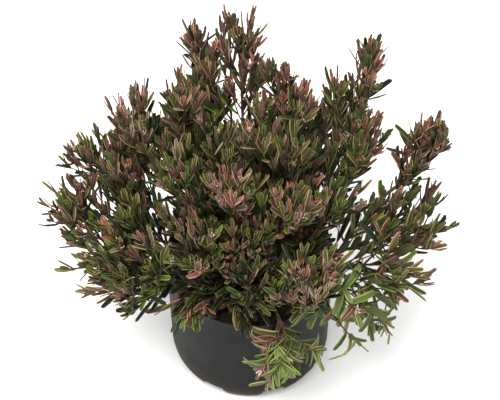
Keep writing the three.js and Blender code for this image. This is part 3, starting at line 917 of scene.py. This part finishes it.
LEAF_STATIONS = ((0.0, 0.3), (0.2, 0.82), (0.6, 1.0), (0.93, 0.78))
BLADE_ACROSS = ((-0.64, 0.12), (0.0, -0.18), (0.64, 0.12))
CREST = (0.84, 0.13)  # the top of a rolled margin: share of the half width, and height
ROLL = (1.0, -0.2)  # where it turns under
UNDER_RIDGE = -0.3
TIP_DIP = 0.04  # how far the tip itself lies lower, as a share of the half width
# How far each kind of leaf curves up and sideways along its length, in radians
BENDS = ((0.4, 0.16), (0.2, -0.18), (-0.08, 0.06), (-0.1, 0.2), (-0.4, -0.16), (-0.7, 0.08))


def leaf_point(share, side, rise, bend, sway):
    """A point of a leaf that curves up by `bend` and sideways by `sway`, in radians, along arcs
    that are worked out from the first terms of their series."""
    x = LEAF["length"] * share
    shortened = x * (1 - bend**2 * share**2 / 6)
    middle = np.array([shortened, x * share * sway / 2, x * share * bend / 2])
    tilt = bend * share
    normal = np.array([-math.sin(tilt), 0, math.cos(tilt)])
    return (middle + np.array([0, side, 0]) + normal * rise) * MM


def leaf_strip(name, across, bend, sway):
    """One layer of a leaf: a grid over its stations, closed at the tip."""
    half = LEAF["width"] / 2
    points = [
        leaf_point(share, side * half * width, rise * half * width, bend, sway)
        for share, width in LEAF_STATIONS
        for side, rise in across
    ]
    points.append(leaf_point(1, 0, -TIP_DIP * half, bend, sway))
    wide, tip = len(across), len(points) - 1
    faces = []
    for row in range(len(LEAF_STATIONS) - 1):
        for column in range(wide - 1):
            a = row * wide + column
            faces.append((a, a + wide, a + wide + 1, a + 1))
    last = (len(LEAF_STATIONS) - 1) * wide
    faces += [(last + column, tip, last + column + 1) for column in range(wide - 1)]
    mesh = mesh_of(name, points, faces)
    smooth(mesh)
    return mesh


def leaf_margins(name, bend, sway):
    """Both rolled margins of a leaf in one mesh."""
    left_across = ((-ROLL[0], ROLL[1]), (-CREST[0], CREST[1]), BLADE_ACROSS[0])
    left = leaf_strip(name, left_across, bend, sway)
    right = leaf_strip(name, (BLADE_ACROSS[-1], CREST, ROLL), bend, sway)
    points = [v.co for mesh in (left, right) for v in mesh.vertices]
    shift = len(left.vertices)
    faces = [tuple(p.vertices) for p in left.polygons]
    faces += [tuple(v + shift for v in p.vertices) for p in right.polygons]
    mesh = bpy.data.meshes.new(name)
    mesh.from_pydata(points, [], faces)
    smooth(mesh)
    return mesh


patterns = []


def collection_of(name, meshes):
    """Shapes that are only patterns for others, kept out of the scene."""
    made = bpy.data.collections.new(name)
    patterns.append(made)
    for mesh in meshes:
        made.objects.link(bpy.data.objects.new(mesh.name, mesh))
    return made


UNDERSIDE_ACROSS = (ROLL, (0, UNDER_RIDGE), (-ROLL[0], ROLL[1]))
blades = [leaf_strip(f"blade_{i}", BLADE_ACROSS, *bend) for i, bend in enumerate(BENDS)]
margins = [leaf_margins(f"margin_{i}", *bend) for i, bend in enumerate(BENDS)]
undersides = [leaf_strip(f"underside_{i}", UNDERSIDE_ACROSS, *bend) for i, bend in enumerate(BENDS)]
leaf_layers = {
    "blades": collection_of("blades", blades),
    "margins": collection_of("margins", margins),
    "undersides": collection_of("undersides", undersides),
}
# What every point holds, of which kind, and the socket that reads it
POINT_ATTRIBUTES = (
    ("turn", "QUATERNION", "Rotation"),
    ("size", "FLOAT_VECTOR", "Scale"),
    ("shape", "INT", "Instance Index"),
)


def scatter_tree():
    """Sets one shape of a collection on every point, by the point's turn, size and shape."""
    sockets = {"Shapes": "NodeSocketCollection", "Finish": "NodeSocketMaterial"}
    tree = new_tree("shapes_on_points", sockets)
    given = add_node(tree, "NodeGroupInput").outputs
    places = {}
    for name, value_kind, socket in POINT_ATTRIBUTES:
        settings = {"inputs": {"Name": name}, "data_type": value_kind}
        held = add_node(tree, "GeometryNodeInputNamedAttribute", **settings)
        places[socket] = held.outputs[0]
    set_shapes(tree, given, given["Geometry"], places)
    return tree


scatter = scatter_tree()


def points_object(name, kinds):
    """Bare points with the turn, size and shape of every leaf of these kinds."""
    mesh = mesh_of(name, [root for kind in kinds for root in kind.roots])
    held = {
        "turn": [number for kind in kinds for turn in kind.turns for number in turn],
        "size": [number for kind in kinds for size in kind.sizes for number in size],
        "shape": [shape for kind in kinds for shape in kind.shapes],
    }
    for attribute, value_kind, _ in POINT_ATTRIBUTES:
        field = "vector" if value_kind == "FLOAT_VECTOR" else "value"
        data = mesh.attributes.new(attribute, value_kind, "POINT").data
        data.foreach_set(field, held[attribute])
    return new_object(name, mesh)


def leaf_piece(name, kinds, layer, skin):
    """One layer of all the leaves of these kinds, as a finished piece."""
    values = {"Shapes": leaf_layers[layer], "Finish": skin}
    piece = grown(name, points_object(name + "_points", kinds), scatter, values)
    masses = sorted(set().union(*(kind.masses for kind in kinds)))
    finish(piece, masses)


for hue, tints in {"pink": RED_TINTS, "green": GREEN_TINTS}.items():
    for tint in tints:
        kinds = [leaves[tint]]
        margin_felt_and_highlight_skin = margin_felt_and_highlight_skins[tint]
        leaf_piece(f"leaf_blades_{tint}", kinds, "blades", blade_skins[tint])
        leaf_piece(f"leaf_margins_{tint}", kinds, "margins", margin_felt_and_highlight_skin)
    kinds = [leaves[tint] for tint in tints]
    underside = underside_skins[hue]
    leaf_piece(f"leaf_undersides_{hue}", kinds, "undersides", underside)

# Flower buds: small urns on short stalks, a few together at a shoot's tip

BUD_PROFILE = ((0, 0), (0.6, 0.6), (0.9, 2.0), (0.75, 3.4), (0.4, 4.4), (0, 4.8))
BUD_SIDES = 5
# How far each bud leans, where round the tip it stands, and how long its stalk is
BUD_CLUSTER = ((30, 0.3, 0.6), (22, 1.7, 1.8), (34, 2.9, 0.8), (14, 4.2, 2.6), (38, 5.2, 0.4))
BUD_TURN = UP + 0.1  # sets how the buds are turned round their own middles


def lathe(profile, sides):
    """Points and faces of a shape turned round +Z. The profile starts and ends on the axis."""
    rings = profile[1:-1]
    turns = [2 * math.pi * i / sides for i in range(sides)]
    points = [(0, 0, profile[0][1])]
    points += [(r * math.cos(t), r * math.sin(t), z) for r, z in rings for t in turns]
    points.append((0, 0, profile[-1][1]))
    top, last = len(points) - 1, 1 + (len(rings) - 1) * sides
    faces = []
    for i in range(sides):
        j = (i + 1) % sides
        faces.append((0, 1 + j, 1 + i))
        faces.append((last + i, last + j, top))
        for ring in range(len(rings) - 1):
            a = 1 + ring * sides
            faces.append((a + i, a + j, a + sides + j, a + sides + i))
    return np.array(points, float), faces


def bud_cluster():
    """A few buds that leave one point, about +X."""
    urn, urn_faces = lathe(BUD_PROFILE, BUD_SIDES)
    points, faces = [], []
    for lean, turn, stalk in BUD_CLUSTER:
        along = leaning(np.array([1.0, 0.0, 0.0]), lean, turn)
        right = unit(np.cross(along, BUD_TURN))
        frame_of_bud = np.array([right, np.cross(along, right), along])
        placed = urn @ frame_of_bud + along * stalk
        faces += [tuple(len(points) + v for v in face) for face in urn_faces]
        points += list(placed * MM)
    mesh = mesh_of("bud_cluster", points, faces)
    smooth(mesh)
    return mesh


bud_shapes = collection_of("buds", [bud_cluster()])
bud_values = {"Shapes": bud_shapes, "Finish": bud_skin}
bud_piece = grown("flower_buds", points_object("bud_points", [buds]), scatter, bud_values)
finish(bud_piece, sorted(buds.masses))

# Limbs: boughs, leafy stems and twigs are tubes along their lines, knotted where leaves fell

LINE_STEP = 5  # between the points of a line
FEWEST_STEPS = 3
KNOT = 1.08  # how much thicker a stem is where a leaf fell
KNOT_EVERY = 3
RELIEF_GRAIN = 3  # across a bump of the bark


def limb_tree():
    """Skins bent lines with tubes of the given thickness, and roughens them by a relief."""
    sockets = {
        "Sides": "NodeSocketInt",
        "Step": "NodeSocketFloat",
        "Relief": "NodeSocketFloat",
        "Grain": "NodeSocketFloat",
        "Finish": "NodeSocketMaterial",
    }
    tree = new_tree("tubes_along_lines", sockets)
    given = add_node(tree, "NodeGroupInput").outputs
    lines = add_node(tree, "GeometryNodeMeshToCurve", {"Mesh": given["Geometry"]}).outputs[0]
    held = {"Name": "thickness"}
    thickness = add_node(tree, "GeometryNodeInputNamedAttribute", held, data_type="FLOAT")
    radii = {"Curve": lines, "Radius": thickness.outputs[0]}
    thick = add_node(tree, "GeometryNodeSetCurveRadius", radii).outputs[0]
    steps = {"Curve": thick, 3: given["Step"]}
    even = add_node(tree, "GeometryNodeResampleCurve", steps, mode="LENGTH").outputs[0]
    ring_sizes = {"Resolution": given["Sides"], "Radius": 1.0}
    ring = add_node(tree, "GeometryNodeCurvePrimitiveCircle", ring_sizes).outputs[0]
    radius = add_node(tree, "GeometryNodeInputRadius").outputs[0]
    sweep = {"Curve": even, "Profile Curve": ring, "Scale": radius, "Fill Caps": True}
    tube = add_node(tree, "GeometryNodeCurveToMesh", sweep).outputs[0]
    place = add_node(tree, "GeometryNodeInputPosition").outputs[0]
    noise_inputs = {"Vector": place, "Scale": given["Grain"], "Detail": 3.0}
    noise = add_node(tree, "ShaderNodeTexNoise", noise_inputs).outputs["Fac"]
    swing = add_node(tree, "ShaderNodeMath", {0: noise, 1: 0.5}, operation="SUBTRACT").outputs[0]
    amounts = {0: swing, 1: given["Relief"]}
    amount = add_node(tree, "ShaderNodeMath", amounts, operation="MULTIPLY").outputs[0]
    normal = add_node(tree, "GeometryNodeInputNormal").outputs[0]
    pushes = {0: normal, "Scale": amount}
    push = add_node(tree, "ShaderNodeVectorMath", pushes, operation="SCALE").outputs[0]
    moved = {"Geometry": tube, "Offset": push}
    rough = add_node(tree, "GeometryNodeSetPosition", moved).outputs[0]
    soft = add_node(tree, "GeometryNodeSetShadeSmooth", {"Geometry": rough}).outputs[0]
    end_tree(tree, soft, given["Finish"])
    return tree


limb_skinner = limb_tree()


def lines_object(name, runs):
    """Bent lines with a thickness at every point. Each run is (line, start, end, radii)."""
    points, edges, thickness = [], [], []
    for line, start, end, (foot, tip) in runs:
        steps = max(FEWEST_STEPS, round(line.length * (end - start) / LINE_STEP))
        for i in range(steps + 1):
            share = i / steps
            if i:
                edges.append((len(points) - 1, len(points)))
            points.append(line.at(lerp(start, end, share)) * MM)
            knot = KNOT if i % KNOT_EVERY == 1 else 1.0
            thickness.append(lerp(foot, tip, share) * knot * MM)
    mesh = mesh_of(name, points, edges=edges)
    mesh.attributes.new("thickness", "FLOAT", "POINT").data.foreach_set("value", thickness)
    return new_object(name, mesh)


def limb_piece(name, runs, sides, step, relief, skin):
    """Tubes along the runs, in steps and with a relief of these many millimetres."""
    values = {
        "Sides": sides,
        "Step": step * MM,
        "Relief": relief * MM,
        "Grain": 1 / (RELIEF_GRAIN * MM),
        "Finish": skin,
    }
    return grown(name, lines_object(name + "_lines", runs), limb_skinner, values)


outer = [stem for stem in stems if stem.kind == "outer"]
bough_runs = [(stem.line, 0, stem.bare, BOUGH_RADII[:2]) for stem in outer]
boughs = limb_piece("boughs", bough_runs, sides=12, step=1.6, relief=0.9, skin=bark)
finish(boughs, [f"bough_{stem.name}" for stem in outer])

WOODY_SHARE = 0.62  # the share of a leafy stem that has bark, not the skin of a young twig
mass_nodes = [f"foliage_{stem.name}" for stem in stems]
woody_runs, young_runs = [], []
for twig in twigs:
    foot, tip = twig.radii
    if twig.kind == "stem":
        middle = lerp(twig.start, twig.end, WOODY_SHARE)
        at_middle = lerp(foot, tip, WOODY_SHARE)
        woody_runs.append((twig.line, twig.start, middle, (foot, at_middle)))
        young_runs.append((twig.line, middle, twig.end, (at_middle, tip)))
    else:
        young_runs.append((twig.line, twig.start, twig.end, twig.radii))
leafy_stems = limb_piece("leafy_stems", woody_runs, sides=8, step=2.5, relief=0.5, skin=bark)
finish(leafy_stems, mass_nodes)
young_twigs = limb_piece("young_twigs", young_runs, sides=5, step=4, relief=0.15, skin=twig_skin)
finish(young_twigs, mass_nodes)

# Main stem: a low woody knot, ribbed where the boughs leave it

MAIN_SIDES = 72
MAIN_RINGS = 26
# Its radii by the share of its height: foot flare, neck, shoulder, top
MAIN_SHARES = (0, 0.45, 0.85, 1)
SHOULDER_RADIUS = 16
TOP_RADIUS = 8
RIBS = {"count": 11, "depth": 0.05, "twist": 0.06}
LOBES = {"count": 5, "depth": 0.03, "turn": 1}


def main_stem_mesh():
    """The knot, turned to its profile and then ribbed."""
    low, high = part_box("main_stem")
    foot = low[2] / MM
    flare = high[0] / MM
    height = MAIN_TOP - foot
    radii = (flare, NECK_RADIUS, SHOULDER_RADIUS, TOP_RADIUS)
    profile = [(0, foot)]
    for ring in range(MAIN_RINGS):
        share = ring / (MAIN_RINGS - 1)
        profile.append((np.interp(share, MAIN_SHARES, radii), foot + height * share))
    profile.append((0, MAIN_TOP))
    points, faces = lathe(profile, MAIN_SIDES)
    turn = np.arctan2(points[:, 1], points[:, 0])
    ribs = RIBS["depth"] * (1 + np.cos(RIBS["count"] * turn + RIBS["twist"] * points[:, 2]))
    lobes = LOBES["depth"] * np.cos(LOBES["count"] * turn + LOBES["turn"])
    points[:, :2] *= (1 - ribs - lobes)[:, None]
    mesh = mesh_of("main_stem_bark", points * MM, faces)
    smooth(mesh)
    mesh.materials.append(bark)
    return mesh


finish(new_object("main_stem_bark", main_stem_mesh()), ["main_stem"])

# Pot: one thin shell with a rolled lip, and drain slots cut through its lower corner

POT_SIDES = 144
SHARP_FROM = 32  # degrees between faces from which their edge is sharp
POT_WALL = 1.5
POT_FLOOR = 3
FOOT_RADIUS = 77.5
FOOT_ROUND = (0.8, 0.7)  # inwards and upwards
SHOULDER = (82, 11)
SHOULDER_ROUND = {"in": 0.8, "below": 1.6, "above": 1.2}
MIDDLE_HEIGHT = 70
BAND_RADIUS = 84
# How high the lip is, how far its corner is rounded and how deep the middle of that round lies,
# and, under it, how far in it starts and the two heights between which it comes out
LIP = {"height": 5, "round": 0.7, "cut": 0.175, "under_in": 0.3, "under": (0.5, 1.2)}
RIM_ROUND = 0.4  # inside the rim
# How high, wide and deep the slots are, how far their cutters start under the foot, and the
# direction of the first one in degrees
SLOT = {"count": 8, "height": 14, "top": 22, "foot": 30, "depth": 8, "under": 1, "first": 17}
OVER_SLOTS = 1.5  # how far over them a ring keeps the shading of the wall even


def wall_radius(height):
    levels = (0, SHOULDER[1], RIM_HEIGHT)
    return float(np.interp(height, levels, (FOOT_RADIUS, SHOULDER[0], BAND_RADIUS)))


def pot_profile():
    """Radii and heights of the shell, up its outside, over the lip and down its inside."""
    side, height = SHOULDER
    foot_in, foot_up = FOOT_ROUND
    outside = [(0, 0), (FOOT_RADIUS - foot_in, 0), (FOOT_RADIUS, foot_up)]
    outside.append((side - SHOULDER_ROUND["in"], height - SHOULDER_ROUND["below"]))
    outside.append((side, height + SHOULDER_ROUND["above"]))
    lip_foot = RIM_HEIGHT - LIP["height"]
    for level in (SLOT["height"] + OVER_SLOTS, MIDDLE_HEIGHT, lip_foot):
        outside.append((wall_radius(level), level))
    r = LIP["round"]
    under, over = LIP["under"]
    lip = [(RIM_RADIUS - LIP["under_in"], lip_foot + under), (RIM_RADIUS, lip_foot + over)]
    cut = LIP["cut"]
    lip += [(RIM_RADIUS, RIM_HEIGHT - r), (RIM_RADIUS - cut, RIM_HEIGHT - cut)]
    lip.append((RIM_RADIUS - r, RIM_HEIGHT))
    inner = BAND_RADIUS - POT_WALL
    inside = [(inner + RIM_ROUND, RIM_HEIGHT), (inner, RIM_HEIGHT - RIM_ROUND)]
    inside.append((side - POT_WALL, height))
    inside += [(wall_radius(POT_FLOOR) - POT_WALL, POT_FLOOR), (0, POT_FLOOR)]
    return outside + lip + inside


def slot_cutter(turn):
    """A wedge that cuts one drain slot, wider at the foot, as an object."""
    near, far = FOOT_RADIUS - SLOT["depth"], FOOT_RADIUS + SLOT["depth"]
    foot, top, height = SLOT["foot"] / 2, SLOT["top"] / 2, SLOT["height"]
    low = -SLOT["under"]
    outline = ((-foot, low), (foot, low), (top, height), (-top, height))
    points = [(x, -depth, z) for depth in (near, far) for x, z in outline]
    faces = [(3, 2, 1, 0), (4, 5, 6, 7), (1, 5, 4, 0), (2, 6, 5, 1), (3, 7, 6, 2), (0, 4, 7, 3)]
    turned = [Matrix.Rotation(turn, 3, "Z") @ Vector(point) * MM for point in points]
    return new_object("slot_cutter", mesh_of("slot_cutter", turned, faces))


def pot_mesh():
    """The shell, with its slots cut."""
    points, faces = lathe(pot_profile(), POT_SIDES)
    shell = new_object("pot_shell_uncut", mesh_of("pot_shell", points * MM, faces))
    cutters = bpy.data.collections.new("slot_cutters")
    for i in range(SLOT["count"]):
        cutter = slot_cutter(math.radians(SLOT["first"] + i * 360 / SLOT["count"]))
        bpy.context.scene.collection.objects.unlink(cutter)
        cutters.objects.link(cutter)
    cut = shell.modifiers.new("drain slots", "BOOLEAN")
    cut.operand_type = "COLLECTION"
    cut.collection = cutters
    cut.operation = "DIFFERENCE"
    cut.solver = "EXACT"
    mesh = plain_mesh(shell)
    patterns.append(cutters)
    smooth(mesh, SHARP_FROM)
    mesh.materials.clear()
    mesh.materials.append(pot_plastic)
    return mesh


finish(new_object("pot_shell", pot_mesh()), ["pot"])

# Potting soil: a closed block whose top is uneven, with crumbs strewn on it

SOIL_SIDES = 120
SOIL_RINGS = 30
SOIL_EDGE_LEVEL = 121
SOIL_FOOT_RADIUS = 66
SOIL_SHOULDER_HEIGHT = 16
SOIL_HEAP = 3
SOIL_EDGE_ROUND = 2
SOIL_RELIEF = {"waves": 0.8, "grain": 0.4, "sunk": 1.2, "past_edge": 0.5}


def soil_mesh():
    """The block of soil inside the pot's wall, its top uneven."""
    inset = POT_WALL + GAP
    edge = wall_radius(SOIL_EDGE_LEVEL) - inset
    shoulder = wall_radius(SOIL_SHOULDER_HEIGHT) - inset
    profile = [(0, POT_FLOOR + GAP), (SOIL_FOOT_RADIUS, POT_FLOOR + GAP)]
    profile += [(shoulder, SOIL_SHOULDER_HEIGHT), (edge, SOIL_EDGE_LEVEL - SOIL_EDGE_ROUND)]
    for ring in range(SOIL_RINGS):
        share = ring / SOIL_RINGS
        profile.append((edge * (1 - share), SOIL_EDGE_LEVEL + SOIL_HEAP * min(1, share * 2)))
    profile.append((0, SOIL_TOP))
    points, faces = lathe(profile, SOIL_SIDES)
    top = points[:, 2] > SOIL_EDGE_LEVEL - SOIL_RELIEF["past_edge"]
    x, y = points[:, 0], points[:, 1]
    # Uneven waves, 10 to 37 mm long, and a grain of 4 to 6 mm
    waves = np.sin(x * 0.21 + 1) * np.cos(y * 0.17) + 0.6 * np.sin(x * 0.47 - y * 0.39)
    grain = np.sin(x * 1.3 + y * 0.7) * np.sin(y * 1.1 - x * 0.4)
    relief = SOIL_RELIEF["waves"] * waves + SOIL_RELIEF["grain"] * grain - SOIL_RELIEF["sunk"]
    points[:, 2] += np.where(top, relief, 0)
    mesh = mesh_of("potting_soil_top", points * MM, faces)
    smooth(mesh)
    mesh.materials.append(peat)
    return mesh


CRUMB_PROFILE = ((0, -0.8), (0.8, -0.45), (1.0, 0.1), (0.6, 0.7), (0, 0.9))
CRUMB_SIDES = 6
CRUMB_KINDS = 4
CRUMB_VARIES = 0.3
CRUMB_SCALES = (0.5, 1.7)
CRUMBS = 90000.0  # for each square metre
CRUMB_EDGE = 1.5  # how far under the soil's edge they still lie
CRUMB_SEEDS = {"shapes": 300, "spots": 5, "turns": 7, "scales": 9}
FULL_TURN = 6.28  # in radians, nearly


def crumb_mesh(name, seed):
    """A lump of peat: a small ball pulled out of shape."""
    dice = Dice(seed)
    points, faces = lathe(CRUMB_PROFILE, CRUMB_SIDES)
    stretch = [dice.around(usual, CRUMB_VARIES) for usual in (1, 1, 0.8)]
    return mesh_of(name, points * stretch * MM, faces)


def strewn_crumbs(soil):
    """Crumbs over the soil inside the rim, by a seeded scatter."""
    sockets = {
        "Shapes": "NodeSocketCollection",
        "Finish": "NodeSocketMaterial",
        "Density": "NodeSocketFloat",
    }
    tree = new_tree("crumbs_on_soil", sockets)
    given = add_node(tree, "NodeGroupInput").outputs
    place = add_node(tree, "GeometryNodeInputPosition").outputs[0]
    height = add_node(tree, "ShaderNodeSeparateXYZ", {"Vector": place}).outputs["Z"]
    levels = {0: height, 1: (SOIL_EDGE_LEVEL - CRUMB_EDGE) * MM}
    on_top = add_node(tree, "ShaderNodeMath", levels, operation="GREATER_THAN").outputs[0]
    ground = {
        "Mesh": given["Geometry"],
        "Selection": on_top,
        "Density": given["Density"],
        "Seed": CRUMB_SEEDS["spots"],
    }
    spots = add_node(tree, "GeometryNodeDistributePointsOnFaces", ground).outputs["Points"]
    turns = {0: (0.0, 0.0, 0.0), 1: (FULL_TURN,) * 3, "Seed": CRUMB_SEEDS["turns"]}
    turn = add_node(tree, "FunctionNodeRandomValue", turns, data_type="FLOAT_VECTOR").outputs[0]
    scales = {2: CRUMB_SCALES[0], 3: CRUMB_SCALES[1], "Seed": CRUMB_SEEDS["scales"]}
    size = add_node(tree, "FunctionNodeRandomValue", scales, data_type="FLOAT").outputs[1]
    set_shapes(tree, given, spots, {"Rotation": turn, "Scale": size})
    lumps = [crumb_mesh(f"crumb_{i}", CRUMB_SEEDS["shapes"] + i) for i in range(CRUMB_KINDS)]
    values = {"Shapes": collection_of("crumbs", lumps), "Finish": peat, "Density": CRUMBS}
    return grown("peat_crumbs", new_object("crumb_ground", soil.copy()), tree, values)


soil_piece = new_object("potting_soil_top", soil_mesh())
finish(soil_piece, ["potting_soil"])
finish(strewn_crumbs(soil_piece.data), ["potting_soil"])

# The patterns have done their work

for made in patterns:
    for pattern in list(made.objects):
        bpy.data.objects.remove(pattern)
    bpy.data.collections.remove(made)

# Floor, light and camera, placed in metres

HALF_FLOOR = 3.0
SKY_STRENGTH = 1.15
KEY_LIGHT = {"place": (-0.3, -0.5, 2.0), "aim": (0, 0, 0.2), "side": 1.2, "power": 58}
SENSOR_WIDTH = 36  # millimetres


def pale_floor():
    """A matt white studio table."""
    corners = [(x * HALF_FLOOR, y * HALF_FLOOR, 0) for x, y in ((-1, -1), (1, -1), (1, 1), (-1, 1))]
    mesh = mesh_of("floor", corners, [(0, 1, 2, 3)])
    material, _, _ = new_material("matt_white_table", Base_Color=linear("#f4f4f2"), Roughness=0.9)
    mesh.materials.append(material)
    floor = new_object("floor", mesh)


def soft_box(name, place, aim, side, power):
    """A large square lamp that gives soft shadows."""
    light = bpy.data.lights.new(name, "AREA")
    light.shape = "SQUARE"
    light.size = side
    light.energy = power
    lamp = new_object(name, light)
    lamp.location = place
    lamp.rotation_euler = (Vector(aim) - Vector(place)).to_track_quat("-Z", "Y").to_euler()


def studio():
    pale_floor()
    world = bpy.data.worlds.new("white_studio")
    world.use_nodes = True
    sky = world.node_tree.nodes["Background"].inputs
    sky["Color"].default_value = (1.0, 1.0, 1.0, 1.0)
    sky["Strength"].default_value = SKY_STRENGTH
    bpy.context.scene.world = world
    soft_box("key_light", **KEY_LIGHT)
    bpy.context.scene.view_settings.view_transform = "Standard"


def camera():
    rim_middle = Vector((0, 0, RIM_HEIGHT * MM))
    back = Vector((0, -math.cos(CAMERA_ELEVATION), math.sin(CAMERA_ELEVATION)))
    lens = bpy.data.cameras.new("camera")
    lens.sensor_width = SENSOR_WIDTH
    lens.lens = FOCAL_LENGTH
    made = new_object("camera", lens)
    made.location = rim_middle + back * CAMERA_DISTANCE
    made.rotation_euler = (math.pi / 2 - CAMERA_ELEVATION + AIM_ABOVE, 0, 0)
    bpy.context.scene.camera = made


studio()
camera()
